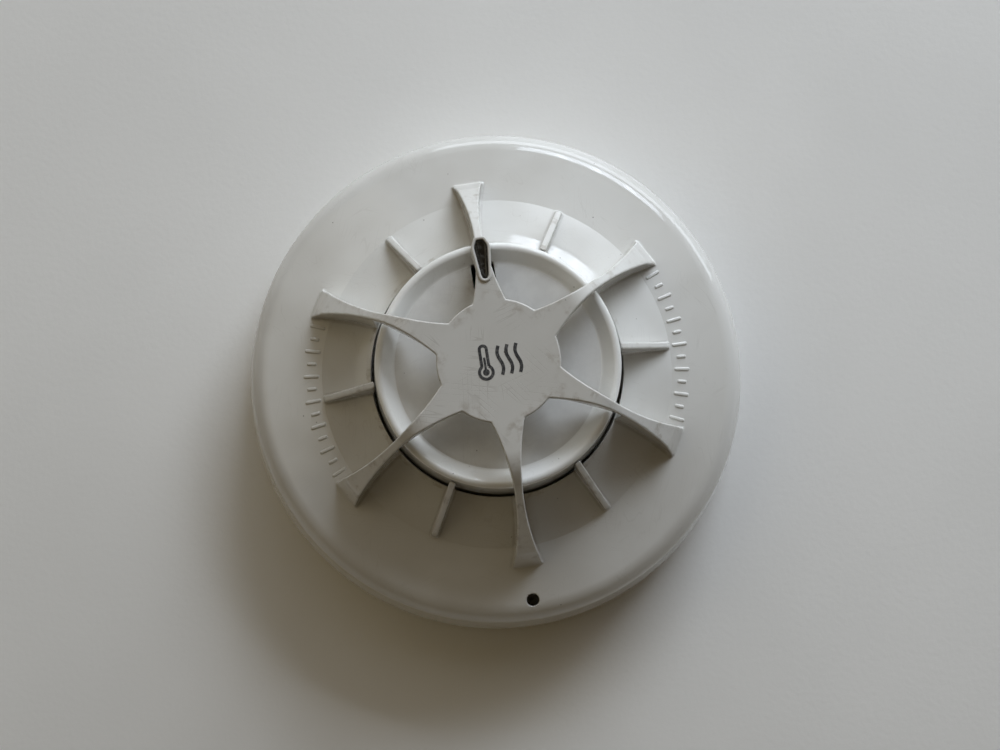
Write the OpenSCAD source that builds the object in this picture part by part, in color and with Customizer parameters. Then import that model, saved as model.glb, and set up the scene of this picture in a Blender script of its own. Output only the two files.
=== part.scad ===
// Heat detector: a twist-lock sensing head on its mounting base.
// The base's underside lies on z = 0, the body is round about z, and the indicator arm points along +Y.

/* [Mounting base] */
// Outside diameter of the base and of the head's lower edge
body_d = 100; // [99.5:0.5:101]
// Height of the base's rim
base_h = 8; // [7.8:0.1:8.2]
// Thickness of the base's floor
floor_t = 2.4; // [2:0.1:2.6]
// Diameter of the cable opening
cable_d = 32; // [26:1:34]
// Distance between the centres of the two fixing slots
slot_spacing = 60; // [58:0.5:62]
// End-to-end length of a fixing slot
slot_len = 13.4; // [10:0.1:14]
// Width of a fixing slot
slot_w = 4.4; // [4:0.1:4.8]
// Gap between the base's rim and the head
seam = 0.3; // [0.2:0.05:0.5]

/* [Outer cover] */
// Height of the whole detector on its base
overall_h = 50; // [49.5:0.1:50.5]
// Thickness of the moulded wall
wall = 2.2; // [1.8:0.1:2.4]
// Radius of the shoulder between the side wall and the face
shoulder_r = 5; // [4.6:0.1:5.3]
// Radius where the nearly flat face meets the central cone
cone_r = 33.5; // [33:0.1:34]
// Height of that meeting line
cone_z = 26.5; // [26:0.1:27]
// Radius of the open throat in the cone
throat_r = 23.75; // [23.7:0.05:23.9]
// Height of the throat's edge
throat_z = 32.5; // [31.5:0.1:33]
// Width of the dark gap between the throat and the ring
throat_gap = 0.65; // [0.5:0.05:0.8]
// Radius of the star plate
plate_r = 11; // [10:0.1:12]
// Thickness of the star plate
plate_t = 1.6; // [1.4:0.1:1.8]
// Radius at the outer end of the arms
arm_r = 37.4; // [36.5:0.1:38]
// Width of an arm where it is narrowest
waist_w = 1.5; // [1.3:0.1:1.8]
// Radius from the axis to that narrowest place
waist_r = 24; // [23:0.1:25]
// Radius of the hollowed sides of an arm
arm_side_r = 41.5; // [40:0.5:50]
// Thickness of a short rib
rib_t = 1.2; // [0.9:0.1:1.5]
// Diameter of the access hole over the locking screw
access_d = 2.4; // [2:0.1:3]

/* [Inner cover] */
// Height of the crest of the ring
crest_z = 42.6; // [42:0.1:42.8]
// Radius of the floor inside the ring
inner_floor_r = 18.8; // [18.4:0.1:19]

/* [Twist lock] */
// Turn from locked to free
twist = 20; // [18:1:21]
// Travel of the locking screw
screw_travel = 2.2; // [1:0.1:2.4]

/* [Hidden] */
$fn = 96;

arms = 6;
arm_step = 360 / arms;
corners = [45, 135, 225, 315];
body_r = body_d / 2;
head_z = base_h + seam;

// Height of the star plate's top: the indicator's frame stands a little above it
frame_rise = 0.4;
plate_z = overall_h - frame_rise;

// Side wall and face, and the shoulder circle that touches both
wall_draft = 10;
face_slope = 12;
shoulder_t = (shoulder_r * (sin(wall_draft) * cos(face_slope) + cos(wall_draft) * sin(face_slope) - 1)
    + (body_r - cone_r) * cos(wall_draft) - (cone_z - head_z) * sin(wall_draft))
    / (cos(face_slope) * cos(wall_draft) - sin(face_slope) * sin(wall_draft));
shoulder = [cone_r + shoulder_t * cos(face_slope) - shoulder_r * sin(face_slope),
    cone_z - shoulder_t * sin(face_slope) - shoulder_r * cos(face_slope)];
face_touch = shoulder + shoulder_r * [sin(face_slope), cos(face_slope)];
wall_touch = shoulder + shoulder_r * [cos(wall_draft), sin(wall_draft)];
cone_slope = atan((throat_z - cone_z) / (cone_r - throat_r));

// Ring of the inner cover: outer edge of its crest, and its wall where it passes the throat
crest_out_r = 22.4;
ring_wall_r = throat_r - throat_gap;

// Circuit board and the rear chassis under it
chassis_z = 9;
chassis_t = 2;
chassis_top = chassis_z + chassis_t;
board_z = 15;
board_t = 1.6;
board_top = board_z + board_t;
board_r = 33;
board_post_r = 29;
board_posts = [30, 150, 270];
cover_boss_r = 40;
cover_bosses = [90, 210, 330];

// Terminals in the base, and the head's contacts that wipe on their springs
terminal_r = 24;
pad_z = 3.4;
spring_t = 0.4;
spring_top = 6.05;
blade_z = 6.2;
blade_t = 0.8;
blade_mid_r = 34;
pin_at_r = 31;
pin_r = 0.5;

// Bayonet: lugs on the head turn under tabs on the base
lug_half = 7;
lug_r = [43, 45.5];
lug_z = [3.6, 5.2];
tab_half = 9;
tab_r = 43.6;
tab_z = [5.5, 7.2];
rim_r = 47.2;

// Locking screw, straight under its access hole, and the two ledges of the base that it drops between
lock_r = 43.8;
lock_screw_r = 1.45;
ledge_r = 41.2;
ledge_at = 4.4;
ledge_z = 5;
lock_tip_z = ledge_z + 0.2 + screw_travel;
lock_screw_len = 8;

// Indicator: a lens in the frame on one arm, with the lamp below it
lens_in_y = 15.3;
lens_out_y = 21.7;
lens_z = [43.9, overall_h - 0.3];
frame_z = 44.4;
lamp_y = 16.8;
thermistor_z = 45;
lead_x = 0.6;
lead_r = 0.25;

// A ring of wall between two angles
module sector(r0, r1, a0, a1, z0, z1) {
    rotate([0, 0, a0])
        rotate_extrude(angle = a1 - a0)
            translate([r0, z0])
                square([r1 - r0, z1 - z0]);
}

// Children drawn once at each angle, at the same distance from the axis
module around(angles, r) {
    for (a = angles)
        rotate([0, 0, a])
            translate([r, 0, 0])
                children();
}

// A vertical plate: an outline given as radius and height, centred on the x = 0 plane
module upright(points, t) {
    rotate([90, 0, 90])
        linear_extrude(height = t, center = true)
            polygon(points);
}

// A block that stands on z0 and is centred on the axis
module block(x, y, z0, h) {
    translate([-x / 2, -y / 2, z0])
        cube([x, y, h]);
}

// ---- Mounting base ----

module fixing_slot() {
    half = (slot_len - slot_w) / 2;
    translate([-half, -slot_w / 2, -1])
        cube([2 * half, slot_w, floor_t + 2]);
    for (end = [-half, half])
        translate([end, 0, -1])
            cylinder(r = slot_w / 2, h = floor_t + 2);
}

module base_moulding() {
    stop_t = 2;
    color("ivory")
        difference() {
            union() {
                rotate_extrude()
                    polygon([[cable_d / 2, 0], [body_r, 0], [body_r - 0.3, base_h], [rim_r, base_h],
                        [rim_r, floor_t], [cable_d / 2, floor_t]]);
                rotate_extrude()
                    translate([cable_d / 2, floor_t - 0.1])
                        square([1.4, 0.9]);
                around(concat(corners, [90]), terminal_r)
                    cylinder(r = 4.2, h = pad_z);
                for (a = corners) {
                    sector(tab_r, rim_r + 0.5, a - tab_half, a + tab_half, tab_z[0], tab_z[1]);
                    for (stop = [a - lug_half - stop_t - 1.5, a + lug_half + twist + 1.5])
                        sector(lug_r[1] - 0.5, rim_r + 0.5, stop, stop + stop_t, 1, tab_z[1]);
                }
                for (side = [-1, 1])
                    sector(ledge_r, rim_r + 0.5, -90 + side * ledge_at - 1, -90 + side * ledge_at + 1,
                        1, ledge_z);
            }
            for (side = [-1, 1])
                translate([side * slot_spacing / 2, 0, 0])
                    fixing_slot();
            around(concat(corners, [90]), terminal_r)
                translate([0, 0, 0.8])
                    cylinder(r = 1.75, h = base_h);
        }
}

module contact_springs() {
    flat_z = pad_z + spring_t;
    color("silver")
        around(corners, 0)
            rotate([0, 0, -90])
                difference() {
                    upright([[terminal_r - 3.6, pad_z], [terminal_r + 5, pad_z],
                        [blade_mid_r - 2, spring_top - spring_t], [blade_mid_r + 1, spring_top - spring_t],
                        [blade_mid_r + 3, spring_top - 2 * spring_t], [blade_mid_r + 3, spring_top - spring_t],
                        [blade_mid_r + 1, spring_top], [blade_mid_r - 2, spring_top],
                        [terminal_r + 5, flat_z], [terminal_r - 3.6, flat_z]], 6);
                    translate([0, terminal_r, 0])
                        cylinder(r = 1.9, h = base_h);
                }
}

module saddle_clamp() {
    difference() {
        block(7, 7, pad_z + spring_t, 1.2);
        cylinder(r = 1.9, h = base_h);
    }
}

module terminal_screw(top_of_clamp) {
    head_h = 2.2;
    difference() {
        union() {
            translate([0, 0, 1])
                cylinder(r = 1.7, h = top_of_clamp - 1 + 0.2);
            translate([0, 0, top_of_clamp])
                cylinder(r = 3, h = head_h);
        }
        block(7, 0.8, top_of_clamp + head_h - 1, 2);
    }
}

module terminal_clamps() {
    color("gainsboro")
        around(corners, terminal_r)
            saddle_clamp();
}

module terminal_screws() {
    color("silver")
        around(corners, terminal_r)
            terminal_screw(pad_z + spring_t + 1.2);
}

module earth_clamp() {
    color("gold")
        around([90], terminal_r)
            translate([0, 0, -spring_t])
                saddle_clamp();
}

module earth_screw() {
    color("silver")
        around([90], terminal_r)
            terminal_screw(pad_z + 1.2);
}

// ---- Outer cover ----

module cover_shell() {
    drop = wall / cos(cone_slope);
    rotate_extrude($fn = 180)
        difference() {
            union() {
                polygon([[throat_r, head_z], [body_r, head_z], wall_touch, face_touch,
                    [cone_r, cone_z], [throat_r, throat_z]]);
                translate(shoulder)
                    circle(r = shoulder_r);
            }
            polygon([[throat_r - 1, head_z - 1], [body_r - wall, head_z - 1], [body_r - wall, head_z],
                [shoulder[0] + shoulder_r - wall, shoulder[1]], [shoulder[0], shoulder[1] + shoulder_r - wall],
                [cone_r, cone_z - wall], [throat_r, throat_z - drop], [throat_r - 1, throat_z - drop]]);
        }
}

// Plan of one arm along +Y: both sides are hollowed by large circles
module arm_plan() {
    half_w = 3;
    difference() {
        translate([-half_w, 0])
            square([2 * half_w, arm_r]);
        for (side = [-1, 1])
            translate([side * (waist_w / 2 + arm_side_r), waist_r])
                circle(r = arm_side_r, $fn = 180);
    }
}

// Flat at the plate, bent over the ring, then sloping down to a steeper end
module arm() {
    under_z = crest_z + 1.1;
    web_r = throat_r + 0.15;
    rib_under_plate = 0.3;
    arm_under = plate_z - plate_t - rib_under_plate;
    intersection() {
        linear_extrude(height = overall_h)
            arm_plan();
        upright([[4, plate_z], [18, plate_z], [21, plate_z - 1.4], [34.8, 32.5], [arm_r, cone_z - 1],
            [arm_r, cone_z - 2], [cone_r, cone_z - 1], [web_r, throat_z - 1.2], [web_r, under_z],
            [18, under_z], [13, arm_under], [4, arm_under]], 8);
    }
}

module short_rib() {
    upright([[crest_out_r + 0.25, crest_z - 0.8], [cone_r - 0.4, cone_z + 1.8],
        [cone_r, cone_z - 0.6], [throat_r + 0.2, throat_z - 1.2], [throat_r + 0.2, throat_z + 0.8],
        [ring_wall_r + 0.15, throat_z + 0.8]], rib_t);
}

// Outline of the indicator lens: round and narrow near the axis, chamfered and wide outside
module lens_plan(grow) {
    inner = 0.62 + grow;
    outer = 1.2 + grow;
    translate([0, lens_in_y])
        circle(r = inner);
    polygon([[-inner, lens_in_y], [inner, lens_in_y], [outer, lens_out_y + grow - 1.2],
        [outer - 0.6, lens_out_y + grow], [0.6 - outer, lens_out_y + grow],
        [-outer, lens_out_y + grow - 1.2]]);
}

module outer_cover() {
    frame_w = 0.55;
    color("whitesmoke")
        difference() {
            union() {
                cover_shell();
                translate([0, 0, plate_z - plate_t])
                    cylinder(r = plate_r, h = plate_t);
                for (i = [0 : arms - 1])
                    rotate([0, 0, i * arm_step]) {
                        arm();
                        rotate([0, 0, arm_step / 2])
                            short_rib();
                    }
                translate([0, 0, frame_z])
                    linear_extrude(height = overall_h - frame_z)
                        lens_plan(frame_w);
                intersection() {
                    around(cover_bosses, cover_boss_r)
                        translate([0, 0, chassis_top])
                            cylinder(r = 3.2, h = overall_h);
                    translate([0, 0, chassis_top])
                        cylinder(r = body_r - 4, h = cone_z - wall - 0.5 - chassis_top);
                }
            }
            translate([0, 0, frame_z - 2])
                linear_extrude(height = overall_h)
                    lens_plan(0.05);
            translate([0, -lock_r, head_z])
                cylinder(d = access_d, h = overall_h);
            around(cover_bosses, cover_boss_r)
                cylinder(r = 1.3, h = 20);
        }
}

// ---- Parts of the head's inside ----

module inner_cover() {
    crest_r = 21.3;
    crest_half = 1.1;
    collar_r = 3.2;
    color("white")
        difference() {
            union() {
                rotate_extrude()
                    difference() {
                        union() {
                            polygon([[0, crest_z - 2.2], [inner_floor_r, crest_z - 1.7], [20.2, crest_z - 0.5],
                                [crest_out_r, crest_z - 0.9], [ring_wall_r, throat_z],
                                [ring_wall_r, board_top + 0.1], [0, board_top + 0.1]]);
                            translate([crest_r, crest_z - crest_half])
                                circle(r = crest_half);
                            translate([0, 24])
                                square([31, 1.5]);
                        }
                        translate([-1, board_top - 1])
                            square([ring_wall_r - 0.8, crest_z - 3.9 - board_top + 1]);
                    }
                translate([0, 0, crest_z - 4])
                    cylinder(r = collar_r, h = 3.4);
            }
            cylinder(r = 2.2, h = overall_h);
            translate([-2.1, 14.4, crest_z - 6])
                cube([4.2, 4.6, 8]);
        }
}

module light_pipe() {
    color("dimgray") {
        translate([0, 0, lens_z[0]])
            linear_extrude(height = lens_z[1] - lens_z[0])
                lens_plan(0);
        translate([0, lamp_y, 24.5])
            cylinder(r = 1.25, h = lens_z[0] + 0.4 - 24.5);
    }
}

module indicator_led() {
    lamp_r = 1.5;
    color("mistyrose")
        translate([0, lamp_y, 0]) {
            translate([0, 0, board_top])
                cylinder(r = lamp_r + 0.3, h = 1);
            translate([0, 0, board_top])
                cylinder(r = lamp_r, h = 5.5);
            translate([0, 0, board_top + 5.5])
                sphere(r = lamp_r);
        }
}

module thermistor_bead() {
    color("darkslategray")
        difference() {
            translate([0, 0, thermistor_z])
                sphere(r = 1.2, $fn = 48);
            for (side = [-1, 1])
                translate([side * lead_x, 0, thermistor_z - 2])
                    cylinder(r = lead_r + 0.02, h = 1.6);
        }
}

module thermistor_leads() {
    color("silver")
        for (side = [-1, 1])
            translate([side * lead_x, 0, board_z - 0.8])
                cylinder(r = lead_r, h = thermistor_z - 0.4 - board_z + 0.8);
}

module circuit_board() {
    color("seagreen")
        difference() {
            translate([0, 0, board_z])
                cylinder(r = board_r, h = board_t);
            for (side = [-1, 1])
                translate([side * lead_x, 0, board_z - 1])
                    cylinder(r = lead_r + 0.1, h = board_t + 2);
            around(board_posts, board_post_r)
                translate([0, 0, board_z - 1])
                    cylinder(r = 1.3, h = board_t + 2);
            around(corners, pin_at_r)
                translate([0, 0, board_z - 1])
                    cylinder(r = pin_r + 0.1, h = board_t + 2);
        }
}

module control_chip() {
    leads = 8;
    pitch = 1.27;
    color("dimgray")
        translate([0, -10, 0]) {
            block(10.4, 7.4, board_top + 0.2, 2.3);
            for (i = [0 : leads - 1])
                translate([(i - (leads - 1) / 2) * pitch, 0, 0])
                    block(0.42, 10.2, board_top, 0.3);
        }
}

module bridge_diodes() {
    color("black")
        around([75, 105, 255, 285], 28)
            block(2.6, 4.4, board_top, 2.2);
}

module smoothing_capacitors() {
    color("silver")
        for (side = [-1, 1])
            translate([side * 12.5, 3, board_top])
                cylinder(r = 4, h = 9.5);
}

module chip_resistors() {
    color("gray")
        for (row = [0 : 1], i = [0 : 3])
            translate([(i - 1.5) * 3.4, 5 + 3 * row, 0])
                block(1.25, 2, board_top, 0.6);
}

module chip_capacitors() {
    color("tan")
        around([0, 20, 180, 200, 340], 28.5)
            block(1.6, 3.2, board_top, 1.3);
}

module switching_transistor() {
    color("dimgray")
        around([120], 28.5) {
            block(3.5, 6.5, board_top + 0.1, 1.6);
            translate([1.2, 0, 0])
                block(4.2, 3, board_top, 0.3);
        }
}

module pan_screw(r, z0, z1, head_r, head_h, drive_w) {
    difference() {
        union() {
            translate([0, 0, z0])
                cylinder(r = r, h = z1 - z0 + 0.1);
            translate([0, 0, z1])
                cylinder(r = head_r, h = head_h);
        }
        for (turn = [0, 90])
            rotate([0, 0, turn])
                block(2.4, drive_w, z1 + head_h - 0.8, 2);
    }
}

module board_screws() {
    color("silver")
        around(board_posts, board_post_r)
            pan_screw(1.1, 11.5, board_top, 2.2, 1.4, 0.5);
}

// ---- Back of the head ----

module rear_chassis() {
    disc_gap = 1;
    boss_r = 2.4;
    boss_h = 4.5;
    color("white")
        difference() {
            union() {
                translate([0, 0, chassis_z])
                    cylinder(r = body_r - wall - disc_gap, h = chassis_t);
                around(board_posts, board_post_r)
                    translate([0, 0, chassis_z])
                        cylinder(r = 2.6, h = board_z - chassis_z);
                translate([0, -lock_r, chassis_z])
                    cylinder(r = boss_r, h = boss_h);
                for (a = corners) {
                    sector(lug_r[0] - 2, lug_r[0], a - lug_half, a + lug_half, lug_z[0], chassis_top);
                    sector(lug_r[0] - 0.5, lug_r[1], a - lug_half, a + lug_half, lug_z[0], lug_z[1]);
                }
                around(corners, blade_mid_r)
                    block(9, 5, blade_z + blade_t, chassis_top - blade_z - blade_t);
            }
            translate([0, -lock_r, 0])
                cylinder(r = lock_screw_r + 0.05, h = 20);
            around(board_posts, board_post_r)
                translate([0, 0, 11.4])
                    cylinder(r = 1.12, h = 10);
            around(cover_bosses, cover_boss_r)
                cylinder(r = 1.6, h = 20);
            around(corners, pin_at_r)
                cylinder(r = pin_r + 0.02, h = 20);
            around(corners, blade_mid_r + 1.5)
                cylinder(r = 1.02, h = chassis_top - 0.6);
        }
}

module chassis_screws() {
    color("silver")
        around(cover_bosses, cover_boss_r)
            mirror([0, 0, 1])
                pan_screw(1.25, -17, -chassis_z, 2.8, 1.4, 0.6);
}

module contact_blades() {
    color("lightgray")
        around(corners, blade_mid_r)
            difference() {
                block(9, 5, blade_z, blade_t);
                translate([pin_at_r - blade_mid_r, 0, 0])
                    cylinder(r = pin_r + 0.02, h = 20);
                translate([1.5, 0, 0])
                    cylinder(r = 1.02, h = 20);
            }
}

module blade_rivets() {
    color("silver")
        around(corners, blade_mid_r + 1.5)
            translate([0, 0, blade_z])
                cylinder(r = 1, h = chassis_top - 0.7 - blade_z);
}

module contact_pins() {
    color("gold")
        around(corners, pin_at_r)
            translate([0, 0, blade_z + 0.1])
                cylinder(r = pin_r, h = board_top + 1 - blade_z);
}

module rear_label() {
    color("lightyellow")
        translate([0, 0, chassis_z - 0.15])
            cylinder(r = 20, h = 0.15);
}

module locking_screw() {
    hex_r = 0.87;
    color("silver")
        translate([0, -lock_r, lock_tip_z])
            difference() {
                union() {
                    cylinder(r1 = 0.7, r2 = lock_screw_r, h = 0.9);
                    translate([0, 0, 0.9])
                        cylinder(r = lock_screw_r, h = lock_screw_len - 0.9);
                }
                translate([0, 0, lock_screw_len - 2])
                    cylinder(r = hex_r, h = 3, $fn = 6);
            }
}

base_moulding();
contact_springs();
terminal_clamps();
terminal_screws();
earth_clamp();
earth_screw();
outer_cover();
inner_cover();
light_pipe();
indicator_led();
thermistor_bead();
thermistor_leads();
circuit_board();
control_chip();
bridge_diodes();
smoothing_capacitors();
chip_resistors();
chip_capacitors();
switching_transistor();
board_screws();
rear_chassis();
chassis_screws();
contact_blades();
blade_rivets();
contact_pins();
rear_label();
locking_screw();
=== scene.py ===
"""Looks of a twist-lock heat detector on its base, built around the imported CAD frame.

Lengths are millimetres and angles are degrees, until a mesh or a light is made in metres.
The moulded parts are distance fields, meshed on a grid of radii, turns and heights, so that
every edge is rounded and every junction has its fillet.
"""
import math

import bmesh
import bpy
import numpy as np
from mathutils import Matrix, Vector


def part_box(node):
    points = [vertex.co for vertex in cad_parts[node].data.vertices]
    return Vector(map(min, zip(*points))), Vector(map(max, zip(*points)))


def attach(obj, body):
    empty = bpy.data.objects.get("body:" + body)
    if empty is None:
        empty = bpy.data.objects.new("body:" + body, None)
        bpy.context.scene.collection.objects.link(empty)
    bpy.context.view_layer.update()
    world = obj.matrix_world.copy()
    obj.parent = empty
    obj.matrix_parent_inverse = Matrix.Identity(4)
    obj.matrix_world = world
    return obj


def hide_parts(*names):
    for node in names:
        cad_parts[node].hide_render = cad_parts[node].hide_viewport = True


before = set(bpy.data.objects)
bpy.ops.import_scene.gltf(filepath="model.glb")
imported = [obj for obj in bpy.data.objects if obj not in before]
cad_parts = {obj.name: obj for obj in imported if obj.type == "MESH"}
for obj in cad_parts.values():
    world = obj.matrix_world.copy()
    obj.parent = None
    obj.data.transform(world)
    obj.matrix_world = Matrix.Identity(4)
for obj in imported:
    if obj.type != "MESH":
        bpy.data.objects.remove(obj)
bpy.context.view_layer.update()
MM = 0.001
COARSE = 1.0


# ---- Sizes, from the frame where it has them ----

def extent(node):
    """Lowest and highest corner of a CAD node, in millimetres."""
    low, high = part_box(node)
    return np.array(low) / MM, np.array(high) / MM


BODY_R = extent("outer_cover")[1][0]
HEAD_Z = extent("outer_cover")[0][2]
TOP_Z = extent("outer_cover")[1][2]
BASE_H = extent("base_moulding")[1][2]
PLATE_Z = TOP_Z - 0.4
CREST_Z = extent("inner_cover")[1][2]
LENS_TOP = extent("light_pipe")[1][2]
BEAD_Z = (extent("thermistor_bead")[0][2] + extent("thermistor_bead")[1][2]) / 2

ARMS = 6
ARM_STEP = 360 / ARMS
WALL = 2.2
CONE_R, CONE_Z = 33.5, 26.5
FACE_SLOPE = 12
THROAT_R, THROAT_Z = 23.75, 32.5
RING_WALL_R = THROAT_R - 0.65
PLATE_R = 11
PLATE_T = 1.8
ARM_R = 37.4
LOCK_R = 43.8
LENS_IN_Y, LENS_OUT_Y = 15.3, 21.7
FRAME_W = 0.55


# ---- Distance fields: negative inside the solid ----

def smooth_min(a, b, k):
    """Union with a fillet about k wide."""
    h = np.clip(0.5 + 0.5 * (b - a) / k, 0, 1)
    return b + (a - b) * h - k * h * (1 - h)


def smooth_max(a, b, k):
    """Overlap with a rounded edge about k wide."""
    return -smooth_min(-a, -b, k)


def meet(a, b, radius):
    """Where two solids overlap, with the edge between them rounded."""
    a, b = a + radius, b + radius
    outside = np.hypot(np.maximum(a, 0), np.maximum(b, 0))
    return np.minimum(np.maximum(a, b), 0) + outside - radius


def round_over(a, b, radius, bend):
    """Where two solids overlap, with the edge between faces that bend by an angle rounded exactly."""
    c, s = math.cos(math.radians(bend)), math.sin(math.radians(bend))
    a, b = a + radius, b + radius
    corner = np.sqrt(np.maximum(a * a + b * b - 2 * a * b * c, 0)) / s
    return np.where((a > b * c) & (b > a * c), corner, np.maximum(a, b)) - radius


def left_of(u, v, point, angle):
    """Distance to the left of a line through a point: the solid is on its right."""
    c, s = math.cos(math.radians(angle)), math.sin(math.radians(angle))
    return (v - point[1]) * c - (u - point[0]) * s


def above(u, v, p, q):
    """Distance above the line from p to q, which runs outward."""
    return left_of(u, v, p, math.degrees(math.atan2(q[1] - p[1], q[0] - p[0])))


def fold(r, turn, step, start=0):
    """Across and along coordinates in the nearest of the directions start, start + step and so on."""
    a = np.radians((turn - start + step / 2) % step - step / 2)
    return r * np.sin(a), r * np.cos(a)


def lens_distance(x, y):
    """Outline of the indicator lens: narrow and round towards the axis, chamfered outside."""
    inner, outer, chamfer = 0.62, 1.2, 1.2
    x = np.abs(x)
    side = above(y, x, (LENS_IN_Y, inner), (LENS_OUT_Y - chamfer, outer))
    corner = above(y, x, (LENS_OUT_Y - chamfer, outer), (LENS_OUT_Y, outer - 0.6))
    far = smooth_max(smooth_max(side, corner, 0.3), y - LENS_OUT_Y, 0.3)
    near = np.hypot(x, y - LENS_IN_Y) - inner
    return np.where(y < LENS_IN_Y, near, far)


def arm_plan(x, y):
    """Star outline in one sixth: the plate's circle and an arm with hollowed sides."""
    half_w, side_r, waist_half, waist_r = 3.0, 41.5, 0.75, 24.0
    x = np.abs(x)
    hollow = side_r - np.hypot(x - waist_half - side_r, y - waist_r)
    end = meet(x - half_w, y - ARM_R, 0.9)
    return smooth_min(np.maximum(hollow, end), np.hypot(x, y) - PLATE_R, 0.25)


def spider(x, y, z):
    """The star plate with its arms: flat, bent over the ring, then sloping to a steeper end."""
    brow, bend, knee, foot = (18, PLATE_Z), (21, PLATE_Z - 1.4), (34.8, 32.5), (ARM_R, CONE_Z - 1)
    top = smooth_max(z - PLATE_Z, above(y, z, brow, bend), 0.8)
    top = smooth_max(top, above(y, z, bend, knee), 0.8)
    top = smooth_max(top, above(y, z, knee, foot), 0.25)
    under_z = CREST_Z + 1.1
    under = np.maximum(under_z - z, -above(y, z, (13, PLATE_Z - PLATE_T), (18, under_z)))
    low = smooth_min(PLATE_Z - PLATE_T - z, under, 0.6)
    low = smooth_min(low, THROAT_R + 0.15 - y, 0.8)
    return meet(arm_plan(x, y), meet(top, low, 0.25), 0.3)


def cover_skin(r, z):
    """Everything under the cover's outer face: side wall, shoulder, face and cone."""
    draft, shoulder_r, cone_slope, lip_slope = 10, 5, 30.5, 22
    face = left_of(r, z, (CONE_R, CONE_Z), -FACE_SLOPE)
    cone = left_of(r, z, (CONE_R, CONE_Z), -cone_slope)
    lip = left_of(r, z, (THROAT_R, THROAT_Z - 0.68), -lip_slope)
    top = np.minimum(face, round_over(cone, lip, 18, cone_slope - lip_slope))
    wall = left_of(z, r, (HEAD_Z, BODY_R), -draft)
    return round_over(top, wall, shoulder_r, 90 - draft - FACE_SLOPE)


def outer_cover(x, y, z):
    r, turn = np.hypot(x, y), np.degrees(np.arctan2(x, y))
    skin = cover_skin(r, z)
    shell = meet(np.maximum(skin, -(skin + WALL)), HEAD_Z - z, 0.2)
    shell = meet(shell, THROAT_R - r, 0.2)
    core = -(skin + WALL / 2)
    arm = np.maximum(spider(*fold(r, turn, ARM_STEP), z), core)
    rib_x, rib_y = fold(r, turn, ARM_STEP, ARM_STEP / 2)
    rib_top = above(rib_y, z, (22.65, CREST_Z - 0.8), (CONE_R - 0.4, CONE_Z + 1.8))
    rib_in = left_of(rib_y, z, (RING_WALL_R + 0.15, THROAT_Z + 0.8), 94)
    rib_out = left_of(rib_y, z, (CONE_R, CONE_Z), -80)
    rib = meet(meet(rib_top, np.maximum(rib_in, core), 0.3), rib_out, 0.3)
    rib = meet(rib, np.abs(rib_x) - 0.6, 0.3)
    solid = smooth_min(smooth_min(shell, arm, 0.5), rib, 0.4)
    slot = np.maximum(lens_distance(x, y) - FRAME_W / 2, CREST_Z - z)
    access = np.hypot(x, y + LOCK_R) - 1.2
    return smooth_max(np.maximum(solid, -slot), -access, 0.15)


def inner_cover(x, y, z):
    """Ring with a rounded crest round a dished floor, on a skirt that goes down to the board."""
    r = np.hypot(x, y)
    floor_r, floor_z, dish = 18.8, CREST_Z - 1.7, 0.5
    in_slope, out_slope = 40, 85.6
    ring_in = left_of(r, z, (floor_r + 0.1, floor_z - 0.1), in_slope)
    ring_out = left_of(r, z, (RING_WALL_R, THROAT_Z), -out_slope)
    ring = round_over(ring_in, ring_out, 0.9, in_slope + out_slope)
    ring = smooth_min(ring, np.maximum(z - floor_z + 0.12, r - 21), 0.35)
    floor = meet(z - (floor_z - dish * (1 - (r / floor_r) ** 2)), r - floor_r, 0.1)
    solid = smooth_min(ring, floor, 0.05)
    solid = meet(solid, -meet(z - (CREST_Z - 3.9), r - (RING_WALL_R - 0.8), 0.6), 0.2)
    flange = meet(np.abs(z - 24.75) - 0.75, np.maximum(r - 31, RING_WALL_R - 0.5 - r), 0.2)
    solid = meet(smooth_min(solid, flange, 0.3), 16.7 - z, 0.2)
    collar = meet(np.maximum(z - (CREST_Z - 0.6), CREST_Z - 4 - z), r - 3.2, 0.25)
    solid = meet(smooth_min(solid, collar, 0.35), 2.2 - r, 0.25)
    window = meet(np.abs(x) - 2.1, np.abs(y - 16.7) - 2.3, 0.4)
    return smooth_max(solid, -np.maximum(window, CREST_Z - 6 - z), 0.2)


def arc_block(r, turn, z, at, half, radii, heights):
    """A block between two radii and two heights, over a short arc on each of four diagonals."""
    across = np.abs((turn - at + 45) % 90 - 45) - half
    side = np.radians(across) * (radii[0] + radii[1]) / 2
    span = meet(np.maximum(radii[0] - r, r - radii[1]), side, 0.2)
    return meet(span, np.maximum(heights[0] - z, z - heights[1]), 0.2)


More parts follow.
